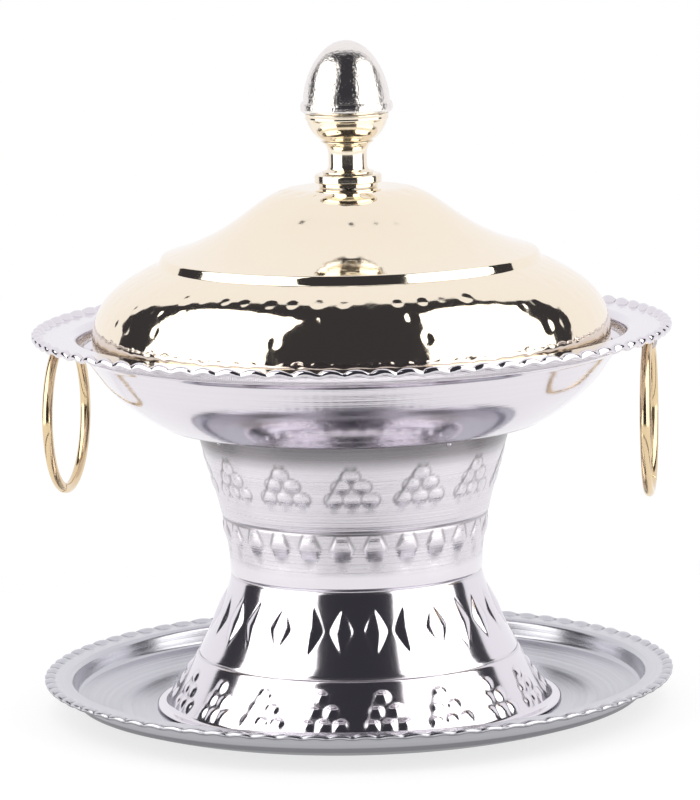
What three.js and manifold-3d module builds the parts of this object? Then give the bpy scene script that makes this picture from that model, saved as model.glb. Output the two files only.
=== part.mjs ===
// Lidded date bowl: a spun steel bowl on an embossed flaring foot, standing on a crimped tray,
// under a domed brass-toned lid with a turned egg finial, with two brass drop rings at its rim.
// Millimetres, +Z up. The origin is the centre of the tray's flat underside and -Y is the front.
// Polar angles run from +X towards +Y, so the front is at -90 degrees.
import * as THREE from "three";
import { mergeVertices } from "three/addons/utils/BufferGeometryUtils.js";
import Module from "manifold-3d";

const wasm = await Module();
wasm.setup();

// Metal thicknesses and fits
const STEEL_SHEET = 1.2;
const BRASS_SHEET = 1;
const GAP = 0.3;

// Tray
const TRAY_RIM_RADIUS = 128.8;
const TRAY_FLANGE_WIDTH = 10.6;
const TRAY_FLOOR_RADIUS = 98;
const TRAY_HEIGHT = 14;
const TRAY_WALL_DROP = 7.6;
const TRAY_WALL_TAPER = 2.4;
const TRAY_SLOPE_SAG = 0.36;

// Crimped edges: each wave is one pinch of the tool, leaning a little along the rim
const CRIMP_WAVES = 80;
const CRIMP_WIDTH = 5.4;
const CRIMP_RELIEF = 1.1;
const CRIMP_ROLL = 0.9;
const CRIMP_LEAN = 2;
const CRIMP_UNDER_SHARE = 0.7;

// Foot
const FOOT_HEIGHT = 115.5;
const FOOT_TOP_RADIUS = 64;
const FOOT_TOP_LANDING = 10;
const FOOT_BASE_RADIUS = 78;
const FOOT_HEM_WIDTH = 5;
const FOOT_HEM_RISE = 1.6;
const WAIST_RADIUS = 51.4;
const WAIST_HEIGHT = 54.4;
const UPPER_GROOVE_HEIGHT = 78.5;
const LOWER_GROOVE_HEIGHT = 21.8;
const GROOVE_DEPTH = 0.6;
const GROOVE_HALF_WIDTH = 0.7;
const FOOT_FLARE_PULLS = [[0.249, 0.127], [1, 0.866]];
const FOOT_RISE_PULLS = [[0, 0.339], [0.725, 0.772]];
const SLOPE_SPAN = 1;

// Embossing, with heights above the foot's base
const UPPER_GRAPES = 13;
const UPPER_GRAPES_HEIGHT = 98.1;
const UPPER_GRAPE_PITCH = 7;
const UPPER_GRAPE_ROW = 4.8;
const UPPER_GRAPES_TURN = -91.2;
const LOWER_GRAPES = 18;
const LOWER_GRAPE_PITCH = 7.4;
const LOWER_GRAPE_ROW = 5;
const LOWER_GRAPES_TURN = -81.1;
const GRAPE_LEAN = 1.2;
const GRAPE_RELIEF = 1.2;
const DROPS = 25;
const DROP_LENGTH = 12.4;
const DROP_WIDTH = 9;
const DROP_BELLY = 0.54;
const DROP_RELIEF = 1.2;
const DROPS_TURN = -96.2;
const LOZENGES = 27;
const LOZENGE_HEIGHT = 39.4;
const LOZENGE_LENGTH = 17.4;
const LOZENGE_WIDTH = 10.2;
const LOZENGE_RELIEF = 1.3;
const LOZENGES_TURN = -96.4;

// Bowl
const BOWL_RIM_RADIUS = 130;
const BOWL_FLANGE_WIDTH = 18.7;
const BOWL_MOUTH_RADIUS = BOWL_RIM_RADIUS - BOWL_FLANGE_WIDTH;
const BOWL_DEPTH = 38;
const BOWL_NECK_HEIGHT = 7.5;
const BOWL_BASE_RADIUS = 74.6;
const BOWL_PULLS = [[0.136, 0.112], [0.663, 0.469]];

// Solder beads under the bowl
const BEADS = 4;
const BEAD_RADIUS = 1.3;
const BEADS_TURN = 35;

// Ring handles and the lugs that carry them
const RING_OUTER_DIAMETER = 66;
const RING_WIRE = 4.2;
const RING_SEAM_GAP = 0.4;
const RING_SEAM_TURN = 22;
const HANDLES = [
  { side: "left", turn: 168.4 },
  { side: "right", turn: -6.7 },
];
const LUG_WIDTH = 8;
const LUG_CLEARANCE = 0.5;
const LUG_WALL_REACH = 8;

// Lid
const LID_MOUTH_CLEARANCE = 6;
const LID_RADIUS = BOWL_MOUTH_RADIUS - LID_MOUTH_CLEARANCE;
const LID_SKIRT = 11;
const LID_SHOULDER_RISE = 29.2;
const LID_STEP_RADIUS = 78;
const LID_STEP_RISE = 3.4;
const LID_STEP_RUN = 1.6;
const LID_CONE_RISE = 26.8;
const LID_CROWN_RADIUS = 19;
const LID_SHOULDER_PULLS = [[0, 0.5], [0.42, 0.76]];
const LID_CONE_PULLS = [[0.632, 0.37], [0.658, 1]];

// Knob and its screw
const COLLAR_RADIUS = 13.6;
const COLLAR_STEP_RADIUS = 12;
const COLLAR_STEP_HEIGHT = 1.6;
const COLLAR_DISC_HEIGHT = 3.4;
const COLLAR_ROUND = 0.85;
const STEM_RADIUS = 7.8;
const STEM_FLARE_RADIUS = 10.4;
const STEM_TOP_RADIUS = 10.8;
const STEM_HEIGHT = 13;
const STEM_FLARE_HEIGHT = 3.9;
const STEM_NECK_HEIGHT = 7.8;
const STEM_FLARE_PULLS = [[1, 0.33], [1, 0.67]];
const STEM_TOP_PULLS = [[0, 0.5], [1, 0.5]];
const TENON_RADIUS = 4;
const TENON_HEIGHT = 2.6;
const CUP_RADIUS = 17.2;
const CUP_HEIGHT = 11.2;
const CUP_PULLS = [[0.75, 0.3], [0.844, 0.7]];
const BAND_RADIUS = 18.7;
const BAND_HEIGHT = 4.3;
const BAND_ROUND = 0.95;
const EGG_RADIUS = 17.5;
const EGG_HEIGHT = 24.5;
const EGG_PULLS = [[0, 0.4], [0.4, 1]];
const SCREW_RADIUS = 2.4;
const SCREW_GRIP = 14;
const SCREW_HEAD_RADIUS = 4.6;
const SCREW_HEAD_HEIGHT = 3;
const SCREW_HEAD_FLAT_RADIUS = 3.45;
const SCREW_SLOT_WIDTH = 1.2;
const SCREW_SLOT_DEPTH = 1.2;
const WASHER_RADIUS = 7.5;
const WASHER_THICKNESS = 0.8;

// The pulls above are the two handles of a smooth outline. Each is a share of the way from its
// start to its end, first across and then up.

// Facets around each kind of surface, and steps along each kind of outline
const RIM_SIDES = 2 * CRIMP_WAVES;
const WALL_SIDES = 48;
const CORE_SIDES = 24;
const CORE_RADIUS = 50;
const FOOT_SIDES = 48;
const FOOT_INNER_SIDES = 24;
const KNOB_SIDES = 20;
const SCREW_SIDES = 12;
const RING_SIDES = 8;
const RING_STEPS = 28;
const BEAD_SIDES = 6;
const LUG_STEPS = 8;
const OUTER_STEPS = 5;
const INNER_STEPS = 3;
const FOOT_STEPS = 12;
const EGG_STEPS = 6;

// Heights that follow from the sizes above
const footBase = STEEL_SHEET + GAP;
const footTop = footBase + FOOT_HEIGHT;
const bowlBase = footTop + GAP;
const bowlFlange = bowlBase + BOWL_DEPTH;

const metal = (color, roughness) =>
  new THREE.MeshStandardMaterial({ color, roughness, metalness: 1 });
const steelSatin = () => metal(0xc9cacf, 0.32);
const steelMirror = () => metal(0xd6d7da, 0.1);
const brassLid = () => metal(0xe9d3a0, 0.08);
const brassKnob = () => metal(0xe6cf92, 0.07);
const brassRing = () => metal(0xc9a055, 0.16);
const screwSteel = () => metal(0xa8abb0, 0.3);

const at = (radius, height) => new THREE.Vector2(radius, height);
const radians = (degrees) => THREE.MathUtils.degToRad(degrees);

// A smooth stretch of outline between two ends, drawn towards its two pulls.
function sweep(start, end, pulls, steps) {
  const handles = pulls.map((pull) => end.clone().sub(start).multiply(at(...pull)).add(start));
  return new THREE.CubicBezierCurve(start, ...handles, end).getPoints(steps);
}

// The outline moved sideways by a distance, to the left of its direction, with mitred corners.
function offsetLine(points, distance) {
  const normals = points.slice(1).map((point, i) => {
    const along = point.clone().sub(points[i]).normalize();
    return at(-along.y, along.x);
  });
  return points.map((point, i) => {
    const before = normals[Math.max(i - 1, 0)];
    const after = normals[Math.min(i, normals.length - 1)];
    const mitre = before.clone().add(after);
    return point.clone().addScaledVector(mitre, (2 * distance) / mitre.lengthSq());
  });
}

// The height of an outline where it passes a radius, or at its nearer end.
function heightAt(points, radius) {
  const [low, high] = [points[0].x, points.at(-1).x];
  const place = THREE.MathUtils.clamp(radius, Math.min(low, high), Math.max(low, high));
  const i = points.findIndex((p, k) => k > 0 && (p.x - place) * (points[k - 1].x - place) <= 0);
  const from = points[i - 1];
  const to = points[i];
  return from.y + ((to.y - from.y) * (place - from.x)) / (to.x - from.x || 1);
}

// The radius of an outline at a height.
function radiusAt(points, height) {
  return heightAt(points.map((p) => at(p.y, p.x)), height);
}

const evenAngles = (sides, turn = 0) =>
  Array.from({ length: sides }, (_, i) => turn + (2 * Math.PI * i) / sides);

// One ring of a turned surface, its vertices pushed in a direction of the section by their own amounts.
function ringOf(point, angles, push = () => 0, direction = at(0, 1)) {
  return angles.map((angle, i) => {
    const moved = point.clone().addScaledVector(direction, push(i));
    return new THREE.Vector3(moved.x * Math.cos(angle), moved.x * Math.sin(angle), moved.y);
  });
}

const tip = (height) => [new THREE.Vector3(0, 0, height)];
const rings = (points, sides) => points.map((point) => ringOf(point, evenAngles(sides)));

// Triangles between two rings, each taking the shorter diagonal. A ring of one vertex is a tip.
function bridge(low, high, firstLow, firstHigh) {
  const fromFirst = (k) => high[k].distanceTo(low[0]);
  const nearest = high.reduce((best, _, k) => (fromFirst(k) < fromFirst(best) ? k : best), 0);
  const lowAt = (i) => i % low.length;
  const highAt = (j) => (j + nearest) % high.length;
  const faces = [];
  let i = low.length === 1 ? 1 : 0;
  let j = high.length === 1 ? 1 : 0;
  while (i < low.length || j < high.length) {
    const lowStep = low[lowAt(i + 1)].distanceTo(high[highAt(j)]);
    const highStep = low[lowAt(i)].distanceTo(high[highAt(j + 1)]);
    const corner = [firstLow + lowAt(i), firstHigh + highAt(j)];
    if (j === high.length || (i < low.length && lowStep <= highStep)) {
      faces.push(corner[0], firstLow + lowAt(i + 1), corner[1]);
      i++;
    } else {
      faces.push(corner[0], firstHigh + highAt(j + 1), corner[1]);
      j++;
    }
  }
  return faces;
}

// A turned solid from its rings, anticlockwise around the section seen with the axis on the left.
// It closes on the axis at both ends, or runs round a hollow back to its first ring.
function turned(ringList, closed) {
  const starts = ringList.map((_, k) => ringList.slice(0, k).flat().length);
  const faces = [];
  ringList.forEach((ring, k) => {
    const next = (k + 1) % ringList.length;
    if (next > 0 || closed) faces.push(...bridge(ring, ringList[next], starts[k], starts[next]));
  });
  const geometry = new THREE.BufferGeometry().setFromPoints(ringList.flat());
  geometry.setIndex(faces);
  geometry.computeVertexNormals();
  return geometry;
}

// Rings of a tray, bowl or lid, with fewer sides near the axis.
const sheetRings = (points) =>
  points.map((p) => ringOf(p, evenAngles(p.x > CORE_RADIUS ? WALL_SIDES : CORE_SIDES)));

// The crimped edge of a flange, from its underside round the pinched lip to its top.
function crimpedEdge(rimRadius, flangeTop) {
  const start = rimRadius - CRIMP_WIDTH;
  const underside = flangeTop - STEEL_SHEET;
  const lip = (radius, height, leanShare, relief) => {
    const angles = evenAngles(RIM_SIDES, (leanShare * CRIMP_LEAN) / rimRadius);
    return ringOf(at(radius, height), angles, (i) => (i % 2 ? -relief : relief));
  };
  return [
    ...sheetRings([at(start, underside)]),
    lip(rimRadius - CRIMP_ROLL, underside, 1, CRIMP_RELIEF * CRIMP_UNDER_SHARE),
    lip(rimRadius, flangeTop, 1, CRIMP_RELIEF),
    lip(rimRadius - CRIMP_WIDTH / 2, flangeTop + CRIMP_ROLL, 1 / 2, CRIMP_RELIEF),
    ...sheetRings([at(start, flangeTop)]),
  ];
}

// A closed geometry as a solid that can be cut.
function solidOf(geometry) {
  const bare = new THREE.BufferGeometry().setAttribute("position", geometry.getAttribute("position"));
  if (geometry.index) bare.setIndex(geometry.index);
  const merged = mergeVertices(bare, 1e-4);
  const vertProperties = new Float32Array(merged.attributes.position.array);
  const triVerts = new Uint32Array(merged.index.array);
  return new wasm.Manifold(new wasm.Mesh({ numProp: 3, vertProperties, triVerts }));
}

function geometryOf(solid) {
  const mesh = solid.getMesh();
  const geometry = new THREE.BufferGeometry();
  geometry.setAttribute("position", new THREE.BufferAttribute(mesh.vertProperties, 3));
  geometry.setIndex(new THREE.BufferAttribute(mesh.triVerts, 1));
  return geometry;
}

const part = new THREE.Group();

function addNode(name, geometry, material, parent = part) {
  const mesh = new THREE.Mesh(geometry, material);
  mesh.name = name;
  parent.add(mesh);
  return mesh;
}

// Tray: flat floor, sloping border, steep wall and a flange with a crimped edge.
function trayGeometry() {
  const mouth = TRAY_RIM_RADIUS - TRAY_FLANGE_WIDTH;
  const wallFoot = mouth - TRAY_WALL_TAPER;
  const slopeTop = TRAY_HEIGHT - TRAY_WALL_DROP;
  const top = [
    at(0, STEEL_SHEET),
    at(TRAY_FLOOR_RADIUS, STEEL_SHEET),
    at((TRAY_FLOOR_RADIUS + wallFoot) / 2, STEEL_SHEET + slopeTop * TRAY_SLOPE_SAG),
    at(wallFoot, slopeTop),
    at(mouth - STEEL_SHEET, TRAY_HEIGHT - STEEL_SHEET),
    at(mouth, TRAY_HEIGHT),
  ];
  const under = offsetLine(top, -STEEL_SHEET).slice(1);
  return turned(
    [
      tip(0),
      ...sheetRings(under),
      ...crimpedEdge(TRAY_RIM_RADIUS, TRAY_HEIGHT),
      ...sheetRings(top.slice(1).reverse()),
      tip(STEEL_SHEET),
    ],
    false,
  );
}

// Foot wall from the hem up the flare to the waist and out to the top.
function footWall(steps) {
  const base = at(FOOT_BASE_RADIUS, STEEL_SHEET + FOOT_HEM_RISE);
  const waist = at(WAIST_RADIUS, WAIST_HEIGHT);
  const top = at(FOOT_TOP_RADIUS, FOOT_HEIGHT - STEEL_SHEET);
  return [
    ...sweep(base, waist, FOOT_FLARE_PULLS, steps),
    ...sweep(waist, top, FOOT_RISE_PULLS, steps).slice(1),
  ];
}

// Angles of a pattern's columns: each motif has one for each place, in millimetres from its middle.
function motifAngles(count, turn, places, radius) {
  const middles = evenAngles(count, radians(turn));
  return middles.flatMap((middle) => places.map((place) => middle + place / radius));
}

// A ring on the foot's wall whose pushed vertices stand out square to the wall.
function wallRing(wall, height, angles, push) {
  const below = Math.max(height - SLOPE_SPAN, wall[0].y);
  const above = Math.min(height + SLOPE_SPAN, wall.at(-1).y);
  const along = at(radiusAt(wall, above) - radiusAt(wall, below), above - below).normalize();
  return ringOf(at(radiusAt(wall, height), height), angles, push, at(along.y, -along.x));
}

// Bunches of grapes: rows of three, two and one bosses with plain rings between, the top one
// leaning aside.
function grapeBand(wall, { count, turn, pitch, row, middle }) {
  const bosses = [3, 2, 1];
  const band = [];
  for (let k = 0; k <= 2 * bosses.length; k++) {
    const height = middle + (k / 2 - bosses.length / 2) * row;
    const lean = (Math.max(0, k - bosses.length) / (bosses.length - 1)) * GRAPE_LEAN;
    const inRow = k % 2 ? bosses[(k - 1) / 2] : 0;
    const columns = inRow > 0 ? [-3, -2, -1, 0, 1, 2, 3] : [-3, -1, 1, 3];
    const places = columns.map((c) => (c * pitch) / 2 - lean);
    const angles = motifAngles(count, turn, places, radiusAt(wall, height));
    const push = (i) => {
      const column = columns[i % columns.length];
      return Math.abs(column) < inRow && (column + inRow) % 2 ? GRAPE_RELIEF : 0;
    };
    band.push(wallRing(wall, height, angles, push));
  }
  return band;
}

// Faceted motifs side by side: each stands out at the middle of its belly height only.
function facetBand(wall, { count, turn, width, bottom, belly, top, relief }) {
  const columns = [-1, 0, 1];
  return [bottom, belly, top].map((height) => {
    const places = columns.map((c) => (c * width) / 2);
    const push = (i) => (height === belly && columns[i % columns.length] === 0 ? relief : 0);
    return wallRing(wall, height, motifAngles(count, turn, places, radiusAt(wall, height)), push);
  });
}

function groove(wall, height, offsets) {
  const angles = evenAngles(FOOT_SIDES);
  const cut = (k) => () => (k === 0 ? -GROOVE_DEPTH : 0);
  return offsets.map((k) => wallRing(wall, height + k * GROOVE_HALF_WIDTH, angles, cut(k)));
}

// Patterns of the foot. The lower grapes stand right on the hem and the drops hang from their groove.
const grapeRows = 3;
const lowerGrapes = {
  count: LOWER_GRAPES,
  turn: LOWER_GRAPES_TURN,
  pitch: LOWER_GRAPE_PITCH,
  row: LOWER_GRAPE_ROW,
  middle: STEEL_SHEET + FOOT_HEM_RISE + (LOWER_GRAPE_ROW * grapeRows) / 2,
};
const upperGrapes = {
  count: UPPER_GRAPES,
  turn: UPPER_GRAPES_TURN,
  pitch: UPPER_GRAPE_PITCH,
  row: UPPER_GRAPE_ROW,
  middle: UPPER_GRAPES_HEIGHT,
};
const lozenges = {
  count: LOZENGES,
  turn: LOZENGES_TURN,
  width: LOZENGE_WIDTH,
  relief: LOZENGE_RELIEF,
  bottom: LOZENGE_HEIGHT - LOZENGE_LENGTH / 2,
  belly: LOZENGE_HEIGHT,
  top: LOZENGE_HEIGHT + LOZENGE_LENGTH / 2,
};
const dropTop = UPPER_GROOVE_HEIGHT - GROOVE_HALF_WIDTH;
const drops = {
  count: DROPS,
  turn: DROPS_TURN,
  width: DROP_WIDTH,
  relief: DROP_RELIEF,
  bottom: dropTop - DROP_LENGTH,
  belly: dropTop - DROP_LENGTH * (1 - DROP_BELLY),
  top: dropTop,
};

// The hem's edge and fold, and the folded-in top, round off the foot's wall at both ends.
const footHem = [
  at(FOOT_BASE_RADIUS + FOOT_HEM_WIDTH, STEEL_SHEET),
  at(FOOT_BASE_RADIUS + FOOT_HEM_RISE / 2, STEEL_SHEET),
];
const footFold = at(FOOT_TOP_RADIUS - STEEL_SHEET / 2, FOOT_HEIGHT);

function footOutside(wall) {
  return [
    ...rings(footHem, FOOT_SIDES),
    ...grapeBand(wall, lowerGrapes),
    ...groove(wall, LOWER_GROOVE_HEIGHT, [0, 1]),
    ...facetBand(wall, lozenges),
    ...groove(wall, WAIST_HEIGHT, [-1, 0, 1]),
    ...facetBand(wall, drops),
    ...groove(wall, UPPER_GROOVE_HEIGHT, [0, 1]),
    ...grapeBand(wall, upperGrapes),
    ...rings([wall.at(-1), footFold], FOOT_SIDES),
  ];
}

function footGeometry() {
  const landing = at(FOOT_TOP_RADIUS - FOOT_TOP_LANDING, FOOT_HEIGHT);
  const outline = [...footHem, ...footWall(INNER_STEPS + 1), footFold, landing];
  const inside = [landing, ...offsetLine(outline, STEEL_SHEET).reverse()];
  const ringList = [...footOutside(footWall(FOOT_STEPS)), ...rings(inside, FOOT_INNER_SIDES)];
  return turned(ringList, true).translate(0, 0, footBase);
}

// Bowl: the underside line from the flat base out to the neck and the flange, at the bowl's own height.
function bowlUnderside(steps) {
  const neck = BOWL_MOUTH_RADIUS + STEEL_SHEET;
  const neckFoot = BOWL_DEPTH - BOWL_NECK_HEIGHT;
  const base = at(BOWL_BASE_RADIUS, 0);
  return [
    ...sweep(base, at(neck - STEEL_SHEET / 2, neckFoot), BOWL_PULLS, steps),
    at(neck, neckFoot + STEEL_SHEET),
    at(neck, BOWL_DEPTH - 2 * STEEL_SHEET),
    at(neck + STEEL_SHEET, BOWL_DEPTH - STEEL_SHEET),
  ];
}

// The inside line, from the flat floor to the flange.
const bowlInside = offsetLine([at(0, 0), ...bowlUnderside(INNER_STEPS + 1)], STEEL_SHEET).slice(1);

function bowlGeometry() {
  return turned(
    [
      tip(0),
      ...sheetRings(bowlUnderside(OUTER_STEPS)),
      ...crimpedEdge(BOWL_RIM_RADIUS, BOWL_DEPTH),
      ...sheetRings(bowlInside.toReversed()),
      tip(STEEL_SHEET),
    ],
    false,
  ).translate(0, 0, bowlBase);
}

// Solder beads in the corner between the foot's top and the bowl's base.
function addBeads() {
  const radius = FOOT_TOP_RADIUS + GAP + BEAD_RADIUS;
  const height = bowlBase - GAP - BEAD_RADIUS;
  for (let i = 0; i < BEADS; i++) {
    const turn = radians(BEADS_TURN + (360 * i) / BEADS);
    const bead = new THREE.SphereGeometry(BEAD_RADIUS, BEAD_SIDES, BEAD_SIDES - 2);
    const mesh = addNode("solder_bead_" + (i + 1), bead, steelSatin());
    mesh.position.set(radius * Math.cos(turn), radius * Math.sin(turn), height);
  }
}

// Handle frame: x out from the bowl, y along the rim, z up, with its origin on the ring's hinge axis.
const lugInner = RING_WIRE / 2 + LUG_CLEARANCE;
const lugOuter = lugInner + STEEL_SHEET;
const hingeRadius = BOWL_MOUTH_RADIUS + STEEL_SHEET + LUG_WALL_REACH;
const hingeHeight = bowlFlange - STEEL_SHEET - GAP - lugOuter;

// A strap bent into an eye, with a flat tab under the flange that reaches in to the neck.
function lugGeometry() {
  const tabEnd = -(LUG_WALL_REACH - STEEL_SHEET - GAP);
  const tabMeets = Math.PI - Math.asin(lugInner / lugOuter);
  const outline = new THREE.Shape();
  outline.moveTo(tabEnd, lugInner);
  outline.lineTo(lugOuter * Math.cos(tabMeets), lugInner);
  outline.absarc(0, 0, lugOuter, tabMeets, 2.5 * Math.PI, false);
  outline.lineTo(tabEnd, lugOuter);
  outline.closePath();
  outline.holes.push(new THREE.Path().absarc(0, 0, lugInner, 0, 2 * Math.PI, true));
  const options = { depth: LUG_WIDTH, bevelEnabled: false, curveSegments: LUG_STEPS };
  const strap = new THREE.ExtrudeGeometry(outline, options);
  return strap.translate(0, 0, -LUG_WIDTH / 2).rotateX(Math.PI / 2);
}

// The ring's centre line: almost a full turn, broken at the butt seam near the bottom.
class RingPath extends THREE.Curve {
  getPoint(t) {
    const radius = (RING_OUTER_DIAMETER - RING_WIRE) / 2;
    const half = RING_SEAM_GAP / 2 / radius;
    const angle = radians(RING_SEAM_TURN - 90) + half + t * 2 * (Math.PI - half);
    return new THREE.Vector3(0, radius * Math.cos(angle), radius * Math.sin(angle) - radius);
  }
}

function ringGeometry() {
  const section = new THREE.Shape().absarc(0, 0, RING_WIRE / 2, 0, 2 * Math.PI, false);
  return new THREE.ExtrudeGeometry(section, {
    steps: RING_STEPS,
    curveSegments: RING_SIDES / 2,
    extrudePath: new RingPath(),
    bevelEnabled: false,
  });
}

function addHandles() {
  for (const { side, turn } of HANDLES) {
    const angle = radians(turn);
    const mount = new THREE.Group();
    mount.position.set(hingeRadius * Math.cos(angle), hingeRadius * Math.sin(angle), hingeHeight);
    mount.rotation.z = angle;
    part.add(mount);
    addNode(side + "_lug", lugGeometry(), steelMirror(), mount);
    addNode(side + "_ring", ringGeometry(), brassRing(), mount);
  }
}

// Lid: its edge sits on the bowl's sloping inner wall, so its height follows from that wall.
const lidEdge = bowlBase + heightAt(bowlInside, LID_RADIUS) + GAP;
const lidShoulder = lidEdge + LID_SKIRT;
const lidStep = lidShoulder + LID_SHOULDER_RISE;
const lidCone = lidStep + LID_STEP_RISE;
const lidTop = lidCone + LID_CONE_RISE;
const boreRadius = SCREW_RADIUS + GAP;

// Lid outline from the edge up the shoulder, over the step and up the cone to the crown.
function lidLine(steps) {
  const shoulder = at(LID_RADIUS, lidShoulder);
  const coneBase = at(LID_STEP_RADIUS - LID_STEP_RUN, lidCone);
  return [
    at(LID_RADIUS, lidEdge),
    ...sweep(shoulder, at(LID_STEP_RADIUS, lidStep), LID_SHOULDER_PULLS, steps),
    ...sweep(coneBase, at(LID_CROWN_RADIUS, lidTop), LID_CONE_PULLS, steps),
    at(boreRadius, lidTop),
  ];
}

function lidGeometry() {
  const inside = offsetLine(lidLine(INNER_STEPS), BRASS_SHEET).reverse();
  inside[0].x = boreRadius;
  return turned([...sheetRings(lidLine(OUTER_STEPS)), ...sheetRings(inside)], true);
}

const knobRings = (points) => rings(points, KNOB_SIDES);
const collarTop = lidTop + GAP + COLLAR_STEP_HEIGHT + COLLAR_DISC_HEIGHT;
const stemBase = collarTop + GAP;
const stemTop = stemBase + STEM_HEIGHT;
const cupBase = stemTop + GAP;
const cupTop = cupBase + CUP_HEIGHT;
const capBase = cupTop + GAP;

// Collar: a stepped disc under the stem.
function collarGeometry() {
  const base = lidTop + GAP;
  const discBase = base + COLLAR_STEP_HEIGHT;
  return turned(
    knobRings([
      at(boreRadius, base),
      at(COLLAR_STEP_RADIUS, base),
      at(COLLAR_STEP_RADIUS, discBase),
      at(COLLAR_RADIUS - COLLAR_ROUND, discBase),
      at(COLLAR_RADIUS, discBase + COLLAR_ROUND),
      at(COLLAR_RADIUS, collarTop - COLLAR_ROUND),
      at(COLLAR_RADIUS - COLLAR_ROUND, collarTop),
      at(boreRadius, collarTop),
    ]),
    true,
  );
}

// Stem: a turned spool, bored for the screw, with a tenon that the cup is riveted over.
function stemGeometry() {
  const flare = at(STEM_FLARE_RADIUS, stemBase);
  const neckBase = at(STEM_RADIUS, stemBase + STEM_FLARE_HEIGHT);
  const neckTop = at(STEM_RADIUS, stemBase + STEM_NECK_HEIGHT);
  const top = at(STEM_TOP_RADIUS, stemTop);
  const boreTop = stemBase - GAP + SCREW_GRIP;
  return turned(
    [
      tip(boreTop),
      ...knobRings([at(boreRadius, boreTop), at(boreRadius, stemBase)]),
      ...knobRings(sweep(flare, neckBase, STEM_FLARE_PULLS, INNER_STEPS)),
      ...knobRings(sweep(neckTop, top, STEM_TOP_PULLS, INNER_STEPS)),
      ...knobRings([at(TENON_RADIUS, stemTop), at(TENON_RADIUS, stemTop + TENON_HEIGHT)]),
      tip(stemTop + TENON_HEIGHT),
    ],
    false,
  );
}

// Cup: the lower half of the egg, a spun shell with a hole for the tenon.
function cupGeometry() {
  const outside = [
    at(TENON_RADIUS + GAP, cupBase),
    ...sweep(at(STEM_TOP_RADIUS, cupBase), at(CUP_RADIUS, cupTop), CUP_PULLS, INNER_STEPS + 1),
  ];
  const inside = offsetLine(outside, BRASS_SHEET).reverse();
  inside[0].y = cupTop;
  inside.at(-1).x = TENON_RADIUS + GAP;
  return turned(knobRings([...outside, ...inside]), true);
}

// Cap: the upper half of the egg with its rounded band, hollow and open below.
function capGeometry() {
  const bandTop = capBase + BAND_HEIGHT;
  const bandEdge = BAND_RADIUS - BAND_ROUND;
  const innerRadius = EGG_RADIUS - BRASS_SHEET;
  const eggTop = at(0, bandTop + EGG_HEIGHT);
  const hollowTop = at(0, eggTop.y - BRASS_SHEET);
  const egg = sweep(at(EGG_RADIUS, bandTop), eggTop, EGG_PULLS, EGG_STEPS);
  const hollow = sweep(at(innerRadius, bandTop), hollowTop, EGG_PULLS, INNER_STEPS).reverse();
  return turned(
    [
      tip(hollowTop.y),
      ...knobRings([...hollow.slice(1), at(innerRadius, capBase)]),
      ...knobRings([
        at(bandEdge, capBase),
        at(BAND_RADIUS, capBase + BAND_ROUND),
        at(BAND_RADIUS, bandTop - BAND_ROUND),
        at(bandEdge, bandTop),
      ]),
      ...knobRings(egg.slice(0, -1)),
      tip(eggTop.y),
    ],
    false,
  );
}

// Screw and washer hold the knob from inside the lid.
const washerTop = lidTop - BRASS_SHEET - GAP;
const headTop = washerTop - WASHER_THICKNESS - GAP;

function washerGeometry() {
  const bottom = washerTop - WASHER_THICKNESS;
  return turned(
    rings([
      at(boreRadius, bottom),
      at(WASHER_RADIUS, bottom),
      at(WASHER_RADIUS, washerTop),
      at(boreRadius, washerTop),
    ], SCREW_SIDES),
    true,
  );
}

function screwGeometry() {
  const headBase = headTop - SCREW_HEAD_HEIGHT;
  const end = stemBase - GAP + SCREW_GRIP - GAP;
  const body = turned(
    [
      tip(headBase),
      ...rings([
        at(SCREW_HEAD_FLAT_RADIUS, headBase),
        at(SCREW_HEAD_RADIUS, headBase + SCREW_HEAD_HEIGHT / 2),
        at(SCREW_HEAD_RADIUS, headTop),
        at(SCREW_RADIUS, headTop),
        at(SCREW_RADIUS, end - SCREW_RADIUS / 2),
        at(SCREW_RADIUS / 2, end),
      ], SCREW_SIDES),
      tip(end),
    ],
    false,
  );
  const slot = new THREE.BoxGeometry(3 * SCREW_HEAD_RADIUS, SCREW_SLOT_WIDTH, 2 * SCREW_SLOT_DEPTH);
  slot.translate(0, 0, headBase);
  return geometryOf(solidOf(body).subtract(solidOf(slot)));
}

addNode("tray", trayGeometry(), steelSatin());
addNode("foot", footGeometry(), steelMirror());
addNode("bowl", bowlGeometry(), steelSatin());
addBeads();
addHandles();
addNode("lid_shell", lidGeometry(), brassLid());
addNode("screw_washer", washerGeometry(), screwSteel());
addNode("knob_screw", screwGeometry(), screwSteel());
addNode("knob_collar", collarGeometry(), brassKnob());
addNode("knob_stem", stemGeometry(), brassKnob());
addNode("knob_cup", cupGeometry(), brassKnob());
addNode("knob_cap", capGeometry(), brassKnob());

export default part;
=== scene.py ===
"""Lidded date bowl: the finished surfaces of a spun steel bowl on an embossed foot and a crimped
tray, with a hammered brass lid, a turned egg knob and two brass drop rings.

Lengths are metres, +Z is up and -Y is the front. Nearly every piece is a surface worked out on a
grid: a section line turned about the axis, with what is pressed or hammered into it added square
to the section. Each ring is a round wire carried along a circle."""

import math

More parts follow.
